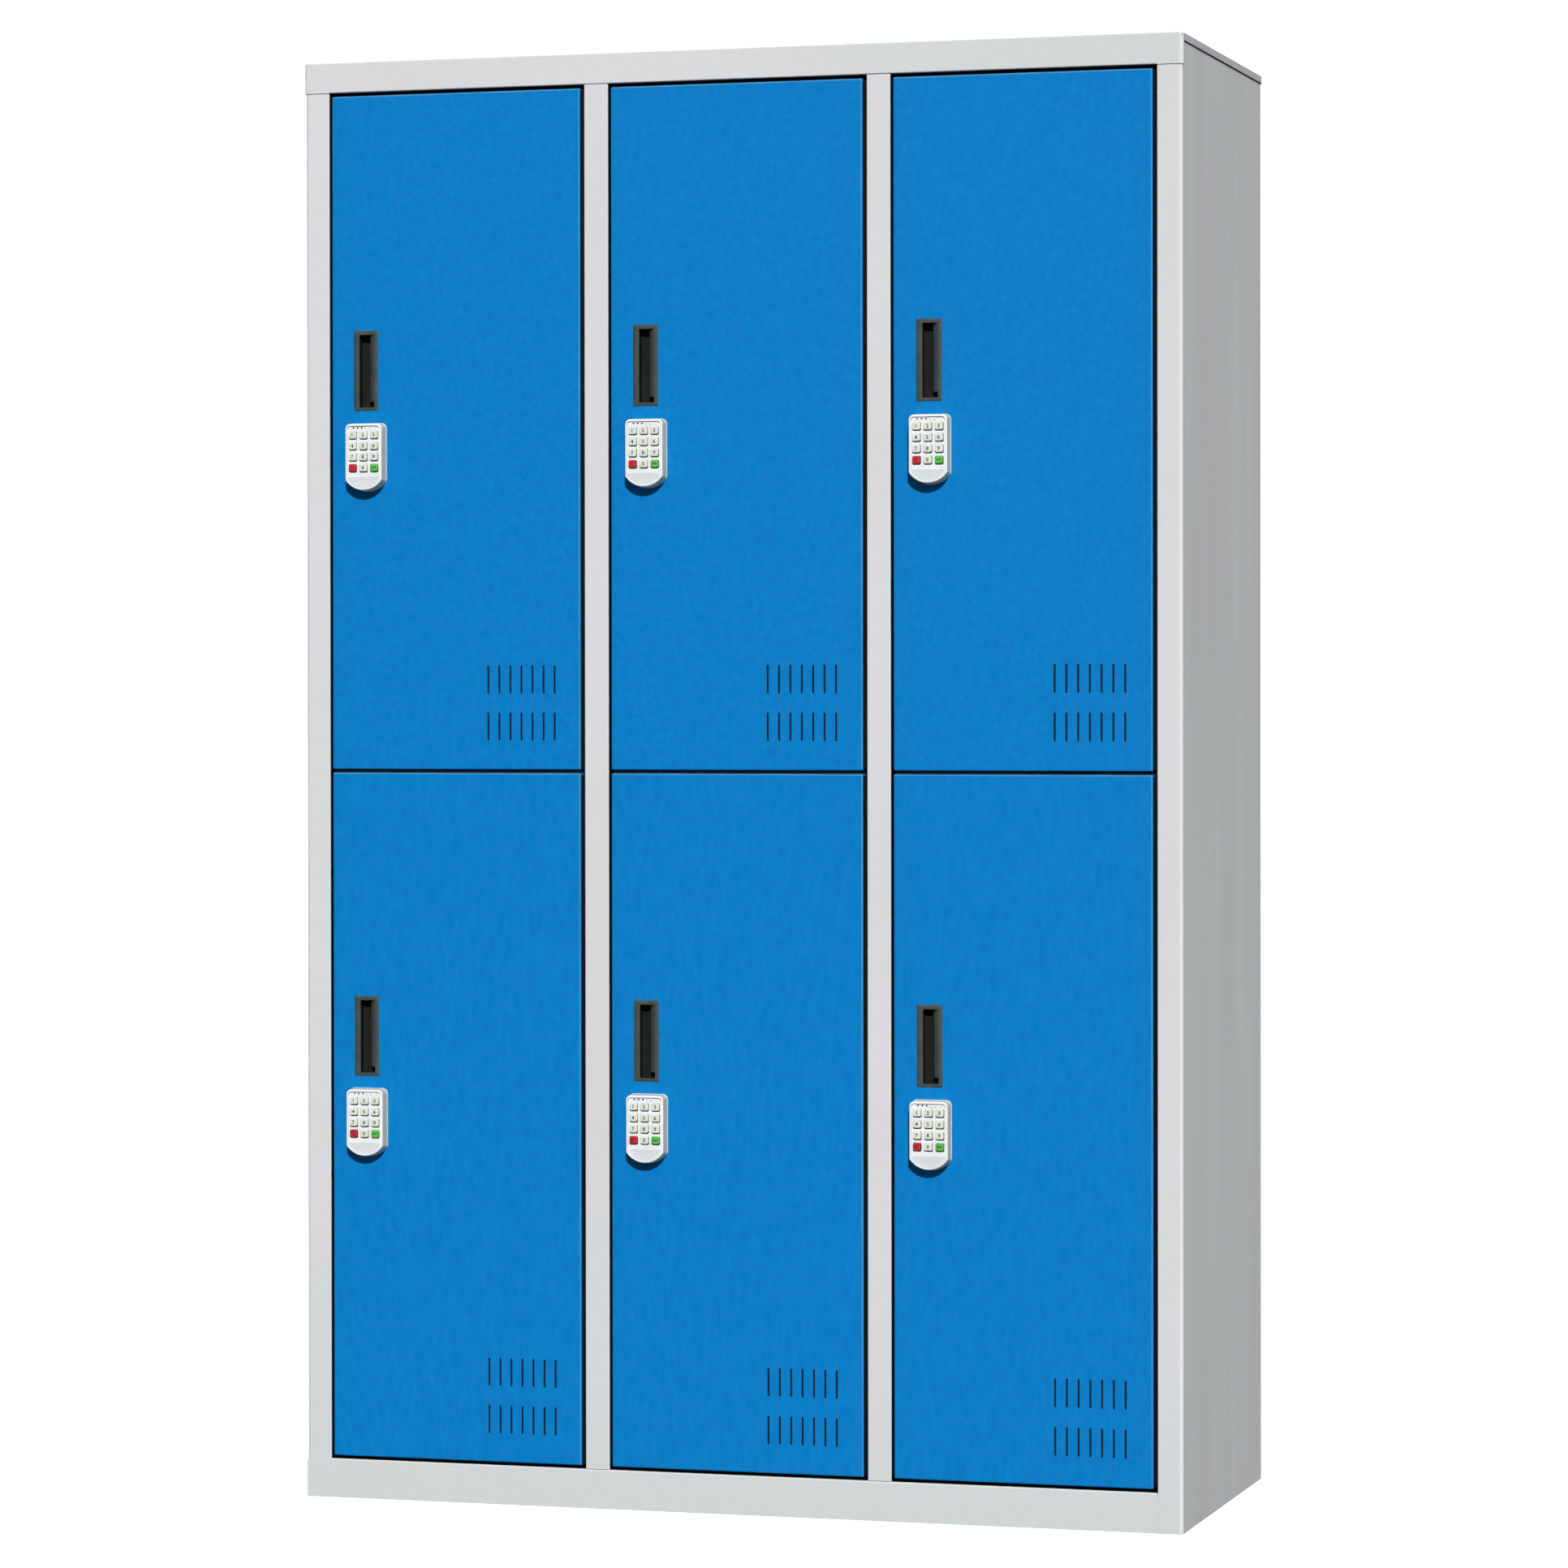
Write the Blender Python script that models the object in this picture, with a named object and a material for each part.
"""Steel locker with six compartments, two tiers of three, each door with a
recessed pull and a battery keypad lock.

Metres, +Z up.  The front faces -Y.  The origin is the middle of the object's
box on the floor.  Every sheet-metal part is a solid of its own, doors are
grouped under an empty on their hinge axis.
"""
import math

import bmesh
import bpy
from mathutils import Vector

# ---------------------------------------------------------------- dimensions
HEIGHT = 1.800            # floor to top of the cover
HALF_WIDTH = 0.5629       # half width over the cover's side lips
DEPTH = 0.480             # over the cover, front fascia to back lip
SHEET = 0.0010            # steel thickness everywhere
GAP = 0.0003              # clearance between pieces that touch
LOCK_PROUD = 0.0180       # keypad housing in front of the door face

OVERALL_DEPTH = DEPTH + LOCK_PROUD - SHEET - GAP
FRONT = -OVERALL_DEPTH / 2 + LOCK_PROUD - SHEET - GAP   # fascia front plane
BACK = FRONT + DEPTH                                     # back lip outer plane
FACE = FRONT + SHEET + GAP          # front plane of stiles, doors, plinth
REAR = BACK - SHEET - GAP           # back plane of the side panels' flanges
BACK_SHEET = REAR - SHEET - GAP     # outer plane of the back panel
INNER_REAR = BACK_SHEET - SHEET - GAP   # where floor, shelves, webs end

SIDE_OUT = HALF_WIDTH - SHEET - GAP  # outer plane of the side panels
SIDE_IN = SIDE_OUT - SHEET
FRONT_BEND = 0.0050       # outer radius of the side panels' front bend
FLANGE = 0.0220           # depth of the return flanges beside the doors
SHELL_FRONT = FACE + FLANGE + 0.0004     # front of floor and shelves

# opening edges of the three bays, left to right (the left bay is wider)
BAYS = {
    "left": (-0.5296, -0.1930),
    "middle": (-0.1618, 0.1695),
    "right": (0.1994, 0.5304),
}
GAP_LOCK = 0.0035         # door to stile on the lock side
GAP_HINGE = 0.0052        # door to stile on the hinge side

FASCIA_BOTTOM = 1.7616
LIP = 0.0100              # side and back lips of the cover
PLINTH_TOP = 0.0487
SHELF_TOP = 0.9128

DOORS = {                 # bottom and top of each tier's doors
    "upper": (0.9143, 1.7572),
    "lower": (0.0526, 0.9103),
}
DOOR_DEEP = 0.0180        # door pan, front face to back lip
DOOR_LIP = 0.0080         # inward lip at the back of the pan
DOOR_EDGE = 0.0015        # outer radius of the pan's front edges

PULL_LEFT = 0.0293        # door edge to bezel edge
PULL_W, PULL_H = 0.0320, 0.1000
PULL_Z = {"upper": 1.4131, "lower": 0.5803}
PULL_DEEP = 0.0140

LOCK_X = 0.0480           # door edge to middle of the lock
LOCK_Z = {"upper": 1.3044, "lower": 0.4725}
LOCK_W, LOCK_H = 0.0490, 0.0840
LOCK_SAG = 0.0130         # drop of the arc that ends the housing
LOCK_TOP_R = 0.0065
LOCK_WALL = 0.0018
KEY_W, KEY_H = 0.0110, 0.0108
KEY_PITCH_X, KEY_PITCH_Z = 0.0142, 0.0137
KEY_ROW_TOP = 0.0146      # housing top to first key row
KEY_TRAVEL = 0.0010
BOLT_Y = 0.0110           # middle of the bolt behind the door face
BOLT_THICK, BOLT_TALL = 0.0080, 0.0160
BOLT_REST = 0.0016        # bolt nose inside the door edge when drawn back

SLOT_W, SLOT_H = 0.0027, 0.0352
SLOT_PITCH, SLOT_COUNT, SLOT_RIGHT = 0.0145, 7, 0.0340
SLOT_ROWS = {"upper": (1.0261, 0.9677), "lower": (0.1647, 0.1058)}

KNUCKLE_R = 0.00215       # rolled hinge knuckle, outer
KNUCKLE_WALL = 0.0008
PIN_R = 0.0010
LEAF_DEEP = 0.0140        # hinge leaf behind the axis
HINGE_BACK = 0.0022       # axis behind the door face
HINGE_END = 0.0025        # hinge stops short of the door's ends
KNUCKLES = 5              # frame, door, frame, door, frame

# ---------------------------------------------------------------- materials
LOOKS = {
    "carcass": ((0.69, 0.70, 0.71), 0.45, 0.0),
    "door_blue": ((0.004, 0.21, 0.56), 0.40, 0.0),
    "black_plastic": ((0.02, 0.022, 0.021), 0.50, 0.0),
    "white_plastic": ((0.85, 0.86, 0.84), 0.35, 0.0),
    "key_grey": ((0.72, 0.74, 0.68), 0.50, 0.0),
    "dark_steel": ((0.022, 0.026, 0.024), 0.45, 0.6),
    "zinc": ((0.55, 0.56, 0.57), 0.35, 0.9),
    "grey_plastic": ((0.10, 0.10, 0.11), 0.50, 0.0),
}


def look(name):
    made = bpy.data.materials.get(name)
    if made:
        return made
    rgb, rough, metal = LOOKS[name]
    made = bpy.data.materials.new(name)
    made.use_nodes = True
    shader = made.node_tree.nodes["Principled BSDF"]
    shader.inputs["Base Color"].default_value = (*rgb, 1)
    shader.inputs["Roughness"].default_value = rough
    shader.inputs["Metallic"].default_value = metal
    made.diffuse_color = (*rgb, 1)
    return made


# ---------------------------------------------------------------- mesh tools
def loft(layers):
    """Closed solid through rings of points that all have the same count."""
    bm = bmesh.new()
    rings = [[bm.verts.new(p) for p in ring] for ring in layers]
    for low, high in zip(rings, rings[1:]):
        for i in range(len(low)):
            j = (i + 1) % len(low)
            bm.faces.new((low[i], low[j], high[j], high[i]))
    bm.faces.new(rings[0][::-1])
    bm.faces.new(rings[-1])
    bmesh.ops.recalc_face_normals(bm, faces=bm.faces[:])
    return bm


def box(x, y, z):
    ring = [(x[0], y[0]), (x[1], y[0]), (x[1], y[1]), (x[0], y[1])]
    return loft([[(*p, h) for p in ring] for h in z])


def along_x(outline, x0, x1):
    """Outline given as (y, z), run between two x values."""
    return loft([[(x, *p) for p in outline] for x in (x0, x1)])


def along_z(outline, z0, z1):
    """Outline given as (x, y), run between two heights."""
    return loft([[(*p, z) for p in outline] for z in (z0, z1)])


def cylinder(centre, direction, radius, length, sides=16):
    """Solid cylinder, centred, on any axis."""
    axis = Vector(direction).normalized()
    side = axis.orthogonal().normalized()
    other = axis.cross(side)
    rings = []
    for s in (-0.5, 0.5):
        mid = Vector(centre) + axis * length * s
        rings.append([
            mid + side * radius * math.cos(2 * math.pi * k / sides)
            + other * radius * math.sin(2 * math.pi * k / sides)
            for k in range(sides)
        ])
    return loft(rings)


def joined(*parts):
    """Several separate solids in one mesh, for cutting or adding."""
    bm = bmesh.new()
    for part in parts:
        mesh = bpy.data.meshes.new("part")
        part.to_mesh(mesh)
        bm.from_mesh(mesh)
        bpy.data.meshes.remove(mesh)
        part.free()
    return bm


def bent(path, radii, segs=3, thick=SHEET):
    """Closed outline of a folded sheet.  path is the sheet's mid line and
    radii the mid-line radius at each inner corner."""
    pts = [Vector(p) for p in path]
    left, right = [], []
    for i, p in enumerate(pts):
        if i in (0, len(pts) - 1):
            run = pts[1] - p if i == 0 else p - pts[-2]
            run.normalize()
            off = Vector((-run.y, run.x)) * thick / 2
            left.append(p + off)
            right.append(p - off)
            continue
        a = (p - pts[i - 1]).normalized()
        b = (pts[i + 1] - p).normalized()
        side = 1 if a.x * b.y - a.y * b.x > 0 else -1
        turn = a.angle(b)
        r = radii[i - 1]
        inward = Vector((-a.y, a.x)) * side
        centre = p - a * r * math.tan(turn / 2) + inward * r
        for k in range(segs + 1):
            t = side * turn * k / segs
            v = Vector((
                -inward.x * math.cos(t) + inward.y * math.sin(t),
                -inward.x * math.sin(t) - inward.y * math.cos(t),
            ))
            left.append(centre + v * (r - side * thick / 2))
            right.append(centre + v * (r + side * thick / 2))
    return [tuple(v) for v in left + right[::-1]]


def make(name, bm, material, origin=(0, 0, 0), parent=None, smooth=None):
    """Object from a mesh given in world coordinates, with its own origin."""
    origin = Vector(origin)
    bmesh.ops.translate(bm, verts=bm.verts[:], vec=-origin)
    mesh = bpy.data.meshes.new(name)
    bm.to_mesh(mesh)
    bm.free()
    obj = bpy.data.objects.new(name, mesh)
    bpy.context.scene.collection.objects.link(obj)
    obj.location = origin - (parent.location if parent else Vector())
    obj.parent = parent
    mesh.materials.append(look(material))
    if smooth:
        mesh.shade_smooth()
        mesh.set_sharp_from_angle(angle=math.radians(smooth))
    return obj


def combine(obj, bm, operation):
    """Boolean of an object with a mesh given in world coordinates."""
    shift = obj.location + (obj.parent.location if obj.parent else Vector())
    bmesh.ops.translate(bm, verts=bm.verts[:], vec=-shift)
    mesh = bpy.data.meshes.new("tool")
    bm.to_mesh(mesh)
    bm.free()
    tool = bpy.data.objects.new("tool", mesh)
    bpy.context.scene.collection.objects.link(tool)
    tool.location = obj.location
    tool.parent = obj.parent
    tool.hide_render = True
    tool.display_type = "WIRE"
    step = obj.modifiers.new("step", "BOOLEAN")
    step.operation = operation
    step.solver = "EXACT"
    step.object = tool
    bpy.context.view_layer.update()
    graph = bpy.context.evaluated_depsgraph_get()
    done = bpy.data.meshes.new_from_object(obj.evaluated_get(graph))
    done.name = obj.name
    old = obj.data
    obj.modifiers.clear()
    obj.data = done
    bpy.data.meshes.remove(old)
    bpy.data.objects.remove(tool)
    bpy.data.meshes.remove(mesh)
    return obj


def cut(obj, *parts):
    return combine(obj, joined(*parts), "DIFFERENCE")


def add(obj, *parts):
    return combine(obj, joined(*parts), "UNION")


def axis_empty(name, location):
    empty = bpy.data.objects.new(name, None)
    empty.empty_display_size = 0.05
    empty.location = location
    bpy.context.scene.collection.objects.link(empty)
    return empty


# ---------------------------------------------------------------- carcass
def bolt_slots(edge, tiers=("upper", "lower")):
    """Slots for the lock bolts in the return flange at x = edge."""
    return [
        box((edge - 0.004, edge + 0.004),
            (FACE + BOLT_Y - 0.0052, FACE + BOLT_Y + 0.0052),
            (LOCK_Z[t] - 0.0095, LOCK_Z[t] + 0.0095))
        for t in tiers
    ]


def side_outline(side, opening, out, bend):
    """Plan of a side panel: return flange, stile face, wall, back flange."""
    h = SHEET / 2
    path = [
        (side * (opening + h), FACE + FLANGE),
        (side * (opening + h), FACE + h),
        (side * (out - h), FACE + h),
        (side * (out - h), REAR - h),
        (side * (out - 0.016), REAR - h),
    ]
    return bent(path, [0.0010, bend - h, 0.0012], segs=4)


def side_panels():
    top = HEIGHT - SHEET - GAP
    opening = BAYS["right"][1]
    outline = side_outline(1, opening, SIDE_OUT, FRONT_BEND)
    make("side_panel_right", along_z(outline, 0, top), "carcass",
         (SIDE_OUT, 0, 0), smooth=40)
    # the left panel's foot is set out a little and has a tighter bend
    opening = -BAYS["left"][0]
    foot = side_outline(-1, opening, SIDE_OUT + 0.0008, 0.0014)
    body = side_outline(-1, opening, SIDE_OUT, FRONT_BEND)
    layers = [[(*p, z) for p in ring] for ring, z in
              ((foot, 0), (foot, 0.0445), (body, 0.0480), (body, top))]
    left = make("side_panel_left", loft(layers), "carcass",
                (-SIDE_OUT, 0, 0), smooth=40)
    cut(left, *bolt_slots(BAYS["left"][0] - SHEET / 2))


def top_cover():
    def ring(inset, front_r, back_r):
        x, y0, y1 = HALF_WIDTH - inset, FRONT + inset, BACK - inset
        pts = []
        for cx, cy, r, start in (
            (-x, y0, front_r, 180), (x, y0, front_r, 270),
            (x, y1, back_r, 0), (-x, y1, back_r, 90),
        ):
            ox = cx + (r if cx < 0 else -r)
            oy = cy + (r if cy == y0 else -r)
            for k in range(4):
                t = math.radians(start + 30 * k)
                pts.append((ox + r * math.cos(t), oy + r * math.sin(t)))
        return pts

    cover = make("top_cover",
                 along_z(ring(0, FRONT_BEND, 0.002), FASCIA_BOTTOM, HEIGHT),
                 "carcass", (0, 0, HEIGHT), smooth=40)
    cut(cover, along_z(ring(SHEET, FRONT_BEND - SHEET, 0.001),
                       FASCIA_BOTTOM - 0.01, HEIGHT - SHEET))
    # only the front keeps the full depth: sides and back are short lips
    cut(cover, box((-0.7, 0.7), (FRONT + 0.0072, BACK + 0.01),
                   (FASCIA_BOTTOM - 0.01, HEIGHT - LIP)))
    # return flange under the fascia, between the stiles
    add(cover, box((BAYS["left"][0] + GAP, BAYS["right"][1] - GAP),
                   (FRONT + SHEET / 2, FRONT + 0.0215),
                   (FASCIA_BOTTOM, FASCIA_BOTTOM + SHEET)))
    # corner relief where fascia, top and side lip meet
    cut(cover, *[
        cylinder((s * (HALF_WIDTH - 0.0018), FRONT + 0.0018, HEIGHT - 0.0042),
                 (s, -1, 0), 0.0009, 0.006, 8) for s in (-1, 1)
    ])


def floor_and_plinth():
    h = SHEET / 2
    path = [(FACE + 0.016, h), (FACE + h, h),
            (FACE + h, PLINTH_TOP - h), (FACE + 0.0205, PLINTH_TOP - h)]
    make("plinth_front",
         along_x(bent(path, [0.001, 0.0015]), BAYS["left"][0] + GAP,
                 BAYS["right"][1] - GAP),
         "carcass", (0, FACE, 0), smooth=40)
    path = [(SHELL_FRONT + h, 0.018), (SHELL_FRONT + h, PLINTH_TOP - h),
            (INNER_REAR - h, PLINTH_TOP - h), (INNER_REAR - h, 0.004)]
    make("floor_panel",
         along_x(bent(path, [0.001, 0.001]), -SIDE_IN + GAP, SIDE_IN - GAP),
         "carcass", (0, 0, PLINTH_TOP), smooth=40)


def back_panel():
    make("back_panel",
         box((-SIDE_IN + GAP, SIDE_IN - GAP),
             (BACK_SHEET - SHEET, BACK_SHEET),
             (0.002, HEIGHT - SHEET - 2 * GAP)),
         "carcass", (0, BACK_SHEET, 0))


def partitions():
    """Uprights between bays: a front channel on a full-depth web."""
    h = SHEET / 2
    for name, left, right in (
        ("partition_left", BAYS["left"][1], BAYS["middle"][0]),
        ("partition_right", BAYS["middle"][1], BAYS["right"][0]),
    ):
        mid = (left + right) / 2
        r = 0.0015
        front = []
        for cx, start in ((left + r, 180), (right - r, 270)):
            for k in range(4):
                t = math.radians(start + 30 * k)
                front.append((cx + r * math.cos(t), FACE + r + r * math.sin(t)))
        outline = [(left, FACE + FLANGE)] + front + [
            (right, FACE + FLANGE), (right - SHEET, FACE + FLANGE),
            (right - SHEET, FACE + SHEET), (mid + h, FACE + SHEET),
            (mid + h, INNER_REAR - SHEET), (mid + 0.014, INNER_REAR - SHEET),
            (mid + 0.014, INNER_REAR), (mid - h, INNER_REAR),
            (mid - h, FACE + SHEET), (left + SHEET, FACE + SHEET),
            (left + SHEET, FACE + FLANGE),
        ]
        post = make(name, along_z(outline, PLINTH_TOP + GAP,
                                  HEIGHT - SHEET - GAP),
                    "carcass", (mid, 0, 0), smooth=40)
        # the channel stops under the fascia's return flange
        cut(post, box((left - 0.01, right + 0.01),
                      (FACE - 0.01, SHELL_FRONT),
                      (FASCIA_BOTTOM - GAP, HEIGHT + 0.01)))
        cut(post, *bolt_slots(right - h))


def shelves():
    h = SHEET / 2
    mids = [(BAYS["left"][1] + BAYS["middle"][0]) / 2,
            (BAYS["middle"][1] + BAYS["right"][0]) / 2]
    spans = {
        "left": (-SIDE_IN + GAP, mids[0] - h - GAP),
        "middle": (mids[0] + h + GAP, mids[1] - h - GAP),
        "right": (mids[1] + h + GAP, SIDE_IN - GAP),
    }
    # the back edge stops in front of the uprights' rear flange
    rear = INNER_REAR - SHEET - GAP
    path = [(SHELL_FRONT + h, SHELF_TOP - 0.025), (SHELL_FRONT + h, SHELF_TOP - h),
            (rear - h, SHELF_TOP - h), (rear - h, SHELF_TOP - 0.016)]
    outline = bent(path, [0.001, 0.001])
    for bay, (x0, x1) in spans.items():
        make(f"shelf_{bay}", along_x(outline, x0, x1), "carcass",
             ((x0 + x1) / 2, 0, SHELF_TOP), smooth=40)


# ---------------------------------------------------------------- doors
def door_panel(name, parent, x0, x1, tier):
    z0, z1 = DOORS[tier]
    r = DOOR_EDGE

    def ring(y, inset):
        return [(x0 + inset, y, z0 + inset), (x1 - inset, y, z0 + inset),
                (x1 - inset, y, z1 - inset), (x0 + inset, y, z1 - inset)]

    # front edges rounded in three steps
    layers = [ring(FACE + DOOR_DEEP, 0)]
    for k in range(4):
        t = math.radians(30 * k)
        layers.append(ring(FACE + r - r * math.sin(t), r - r * math.cos(t)))
    pan = make(name, loft(layers), "door_blue",
               ((x0 + x1) / 2, FACE, (z0 + z1) / 2), parent, smooth=40)
    cut(pan, box((x0 + SHEET, x1 - SHEET),
                 (FACE + SHEET, FACE + DOOR_DEEP - SHEET),
                 (z0 + SHEET, z1 - SHEET)))
    lip = DOOR_LIP
    cut(pan, box((x0 + lip, x1 - lip),
                 (FACE + SHEET * 3, FACE + DOOR_DEEP + 0.005),
                 (z0 + lip, z1 - lip)))
    through = (FACE - 0.005, FACE + SHEET * 2)
    holes = []
    for row in SLOT_ROWS[tier]:
        for k in range(SLOT_COUNT):
            x = x1 - SLOT_RIGHT - SLOT_PITCH * k
            holes.append(box((x - SLOT_W / 2, x + SLOT_W / 2), through,
                             (row - SLOT_H / 2, row + SLOT_H / 2)))
    px, pz, lz = x0 + PULL_LEFT, PULL_Z[tier], LOCK_Z[tier]
    holes.append(box((px + 0.0052, px + 0.0283), through,
                     (pz - 0.0478, pz + 0.0478)))
    holes.append(cylinder((x0 + LOCK_X, FACE, lz), (0, 1, 0), 0.0056, 0.02, 12))
    holes.append(box((x0 - 0.005, x0 + SHEET * 2),
                     (FACE + BOLT_Y - BOLT_THICK / 2 - 0.0004,
                      FACE + BOLT_Y + BOLT_THICK / 2 + 0.0004),
                     (lz - BOLT_TALL / 2 - 0.0004, lz + BOLT_TALL / 2 + 0.0004)))
    cut(pan, *holes)
    return pan


def pull(name, parent, x0, tier):
    """Moulded cup: bezel over the door face, pocket behind it."""
    px, pz = x0 + PULL_LEFT, PULL_Z[tier]

    def ring(y, left, right, half):
        return [(px + left, FACE + y, pz - half), (px + right, FACE + y, pz - half),
                (px + right, FACE + y, pz + half), (px + left, FACE + y, pz + half)]

    half = PULL_H / 2
    shell = make(name, loft([
        ring(-0.0015, 0.0006, PULL_W - 0.0006, half - 0.0006),
        ring(-0.0009, 0, PULL_W, half),
        ring(-0.0003, 0, PULL_W, half),
    ]), "black_plastic", (px + PULL_W / 2, FACE, pz), parent)
    add(shell, loft([ring(-0.0006, 0.0055, 0.0280, 0.0475),
                     ring(PULL_DEEP, 0.0060, 0.0275, 0.0470)]))
    cut(shell, loft([
        ring(-0.0030, 0.0010, PULL_W - 0.0010, 0.0490),
        ring(-0.0014, 0.0010, PULL_W - 0.0010, 0.0490),
        ring(-0.0010, 0.0068, 0.0270, 0.0462),
        ring(0.0020, 0.0080, 0.0260, 0.0450),
        ring(PULL_DEEP - 0.0014, 0.0085, 0.0255, 0.0445),
    ]))
    return shell


def lock_ring(cx, cz, y, inset):
    """Housing outline: rounded top corners, arc at the bottom."""
    w, top = LOCK_W / 2 - inset, LOCK_H / 2 - inset
    r = max(LOCK_TOP_R - inset, 0.001)
    foot = -LOCK_H / 2 + inset
    shoulder = -LOCK_H / 2 + LOCK_SAG + inset * 0.6
    pts = []
    for k in range(4):
        t = math.radians(30 * k)
        pts.append((w - r + r * math.cos(t), top - r + r * math.sin(t)))
    for k in range(4):
        t = math.radians(90 + 30 * k)
        pts.append((-w + r + r * math.cos(t), top - r + r * math.sin(t)))
    sag = shoulder - foot
    big = (w * w + sag * sag) / (2 * sag)
    reach = math.asin(w / big)
    for k in range(9):
        t = -reach + 2 * reach * k / 8
        pts.append((big * math.sin(t), foot + big - big * math.cos(t)))
    return [(cx + x, FACE + y, cz + z) for x, z in pts]


def key_centres(cx, cz):
    top = cz + LOCK_H / 2 - KEY_ROW_TOP
    for row in range(4):
        for col in (-1, 0, 1):
            yield cx + col * KEY_PITCH_X, top - row * KEY_PITCH_Z


def lock_housing(name, parent, cx, cz):
    p = LOCK_PROUD
    shell = make(name, loft([
        lock_ring(cx, cz, -0.0003, -0.0008),
        lock_ring(cx, cz, -p + 0.0025, 0),
        lock_ring(cx, cz, -p + 0.0008, 0.0005),
        lock_ring(cx, cz, -p, 0.0016),
    ]), "white_plastic", (cx, FACE, cz), parent, smooth=40)
    cut(shell, loft([lock_ring(cx, cz, 0.001, 0.0012),
                     lock_ring(cx, cz, -p + 0.0026, LOCK_WALL)]))
    cut(shell, loft([lock_ring(cx, cz, -p - 0.002, 0.0030),
                     lock_ring(cx, cz, -p + 0.0008, 0.0030)]))
    cut(shell, *[
        box((x - KEY_W / 2 - 0.0003, x + KEY_W / 2 + 0.0003),
            (FACE - p - 0.003, FACE - p + 0.005),
            (z - KEY_H / 2 - 0.0003, z + KEY_H / 2 + 0.0003))
        for x, z in key_centres(cx, cz)
    ])
    return shell


def lock_keys(name, parent, cx, cz):
    """One silicone mat with the twelve keys that rise from it."""
    p = LOCK_PROUD
    mid = cz + LOCK_H / 2 - KEY_ROW_TOP - 1.5 * KEY_PITCH_Z
    y0 = FACE - p + 0.0026 + GAP
    mat = make(name, box((cx - 0.0216, cx + 0.0216), (y0, y0 + 0.0012),
                         (mid - 0.0285, mid + 0.0265)),
               "key_grey", (cx, y0, mid), parent)
    add(mat, *[
        box((x - KEY_W / 2, x + KEY_W / 2), (FACE - p + 0.0001, y0 + 0.0005),
            (z - KEY_H / 2, z + KEY_H / 2))
        for x, z in key_centres(cx, cz)
    ])
    return mat


def lock_rear_case(name, parent, cx, cz):
    half_w, half_h, y0, y1 = 0.022, 0.039, FACE + SHEET + GAP, FACE + 0.0240

    def ring(y, inset, r=0.004):
        pts = []
        for sx, sz, start in ((1, 1, 0), (-1, 1, 90), (-1, -1, 180), (1, -1, 270)):
            for k in range(3):
                t = math.radians(start + 45 * k)
                pts.append((cx + sx * (half_w - inset - r) + r * math.cos(t), y,
                            cz + sz * (half_h - inset - r) + r * math.sin(t)))
        return pts

    case = make(name, loft([ring(y0, 0), ring(y1 - 0.0015, 0), ring(y1, 0.0015)]),
                "grey_plastic", (cx, y0, cz), parent, smooth=40)
    add(case, cylinder((cx, FACE + 0.0010, cz), (0, 1, 0), 0.0050, 0.006, 12))
    cut(case, box((cx - half_w - 0.005, cx + 0.009),
                  (FACE + BOLT_Y - BOLT_THICK / 2 - GAP,
                   FACE + BOLT_Y + BOLT_THICK / 2 + GAP),
                  (cz - BOLT_TALL / 2 - GAP, cz + BOLT_TALL / 2 + GAP)))
    return case


def lock_bolt(name, parent, x0, cz):
    nose, tail = x0 + BOLT_REST, x0 + LOCK_X - 0.002
    y, half, tall = FACE + BOLT_Y, BOLT_THICK / 2, BOLT_TALL / 2

    def ring(x, inset):
        return [(x, y - half + inset, cz - tall + inset),
                (x, y + half - inset, cz - tall + inset),
                (x, y + half - inset, cz + tall - inset),
                (x, y - half + inset, cz + tall - inset)]

    return make(name, loft([ring(nose, 0.0012), ring(nose + 0.0015, 0),
                            ring(tail, 0)]),
                "zinc", (nose, y, cz), parent)


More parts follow.
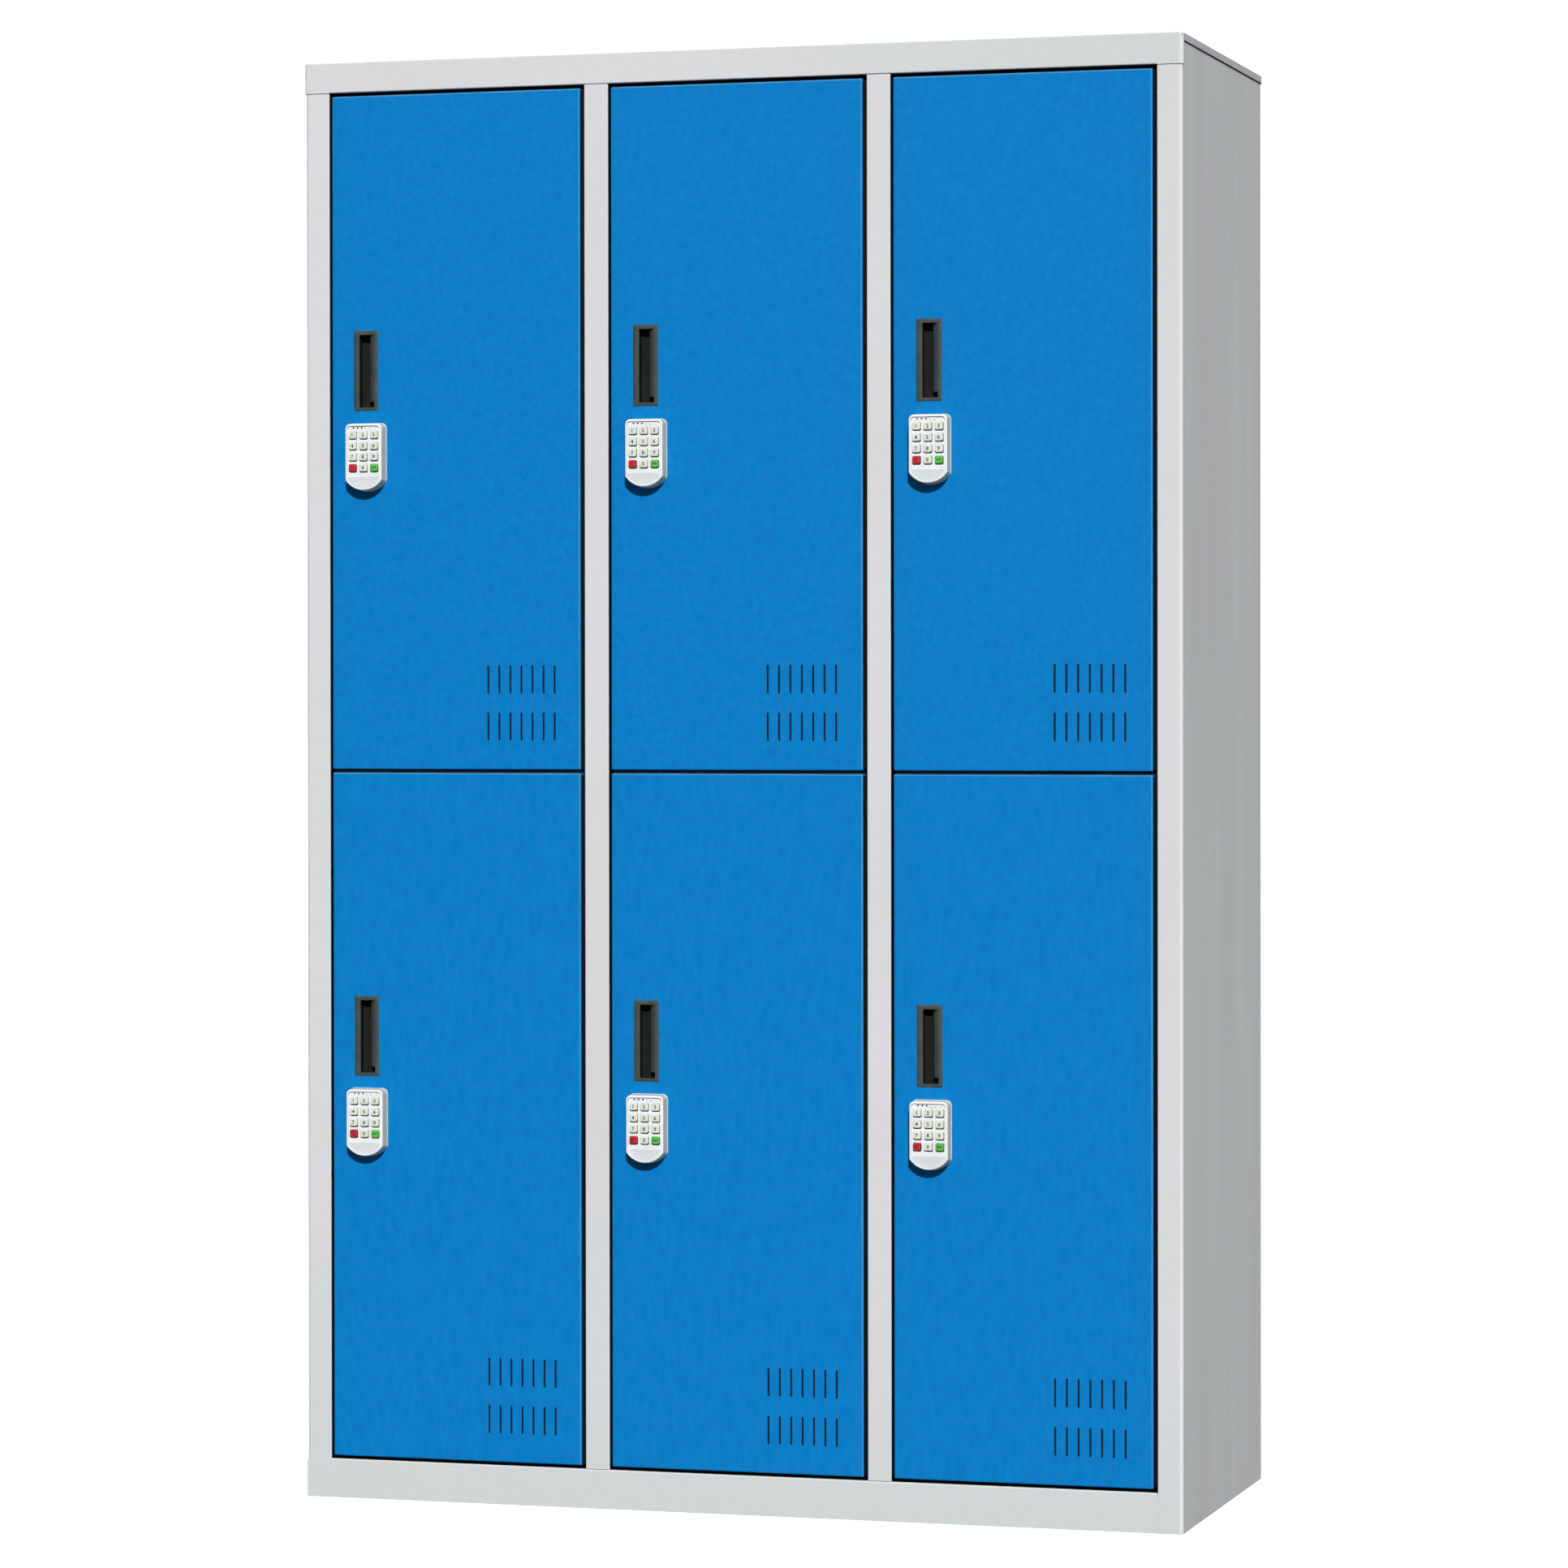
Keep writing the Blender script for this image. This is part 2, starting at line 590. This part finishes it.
def hinge_leaves(tag, parent, axis_x, tier):
    """Continuous hinge in the gap: rolled knuckles on both leaves, the pin
    fast in the frame leaf."""
    z0, z1 = DOORS[tier][0] + HINGE_END, DOORS[tier][1] - HINGE_END
    ay = FACE + HINGE_BACK
    mid_r = KNUCKLE_R - KNUCKLE_WALL / 2
    seg = (z1 - z0) / KNUCKLES
    plate_in, plate_out = 0.0013, 0.0022

    def curl(side):
        """Strip that comes forward along the leaf and rolls round the pin."""
        outer, inner = [], []
        for r, pts in ((KNUCKLE_R, outer), (KNUCKLE_R - KNUCKLE_WALL, inner)):
            pts.append((axis_x + side * r, ay + 0.0032))
            for k in range(11):
                t = math.radians(29 * k)
                pts.append((axis_x + side * r * math.cos(t), ay - r * math.sin(t)))
        return outer + inner[::-1]

    def plate(side):
        a, b = sorted((axis_x + side * plate_in, axis_x + side * plate_out))
        return box((a, b), (ay + 0.0026, ay + LEAF_DEEP), (z0, z1))

    own = {"frame": range(0, KNUCKLES, 2), "door": range(1, KNUCKLES, 2)}
    leaf = make(f"hinge_door_leaf_{tag}", plate(-1), "dark_steel",
                (axis_x, ay, z0), parent, smooth=40)
    add(leaf, *[along_z(curl(-1), z0 + seg * k + GAP / 2, z0 + seg * (k + 1) - GAP / 2)
                for k in own["door"]])
    frame = make(f"hinge_frame_leaf_{tag}", plate(1), "dark_steel",
                 (axis_x, ay, z0), smooth=40)
    for k in own["frame"]:
        low, high = z0 + seg * k, z0 + seg * (k + 1)
        add(frame, box((axis_x + 0.00135, axis_x + 0.00208), (ay, ay + 0.0032),
                       (low + GAP, high - GAP)))
        add(frame, cylinder((axis_x, ay, (low + high) / 2), (0, 0, 1),
                            KNUCKLE_R, high - low - GAP, 12))
    add(frame, cylinder((axis_x, ay, (z0 + z1) / 2), (0, 0, 1), PIN_R,
                        z1 - z0 - 0.004, 8))


def door(tier, bay):
    tag = f"{tier}_{bay}"
    x0, x1 = BAYS[bay][0] + GAP_LOCK, BAYS[bay][1] - GAP_HINGE
    axis_x = x1 + GAP_HINGE / 2
    empty = axis_empty(f"hinge_axis_{tag}", (axis_x, FACE + HINGE_BACK, DOORS[tier][0]))
    door_panel(f"door_panel_{tag}", empty, x0, x1, tier)
    pull(f"door_pull_{tag}", empty, x0, tier)
    cx, cz = x0 + LOCK_X, LOCK_Z[tier]
    lock_housing(f"lock_housing_{tag}", empty, cx, cz)
    lock_keys(f"lock_keys_{tag}", empty, cx, cz)
    lock_rear_case(f"lock_rear_case_{tag}", empty, cx, cz)
    lock_bolt(f"lock_bolt_{tag}", empty, x0, cz)
    hinge_leaves(tag, empty, axis_x, tier)


def main():
    for obj in list(bpy.data.objects):
        bpy.data.objects.remove(obj)
    side_panels()
    top_cover()
    floor_and_plinth()
    back_panel()
    partitions()
    shelves()
    for tier in DOORS:
        for bay in BAYS:
            door(tier, bay)


main()
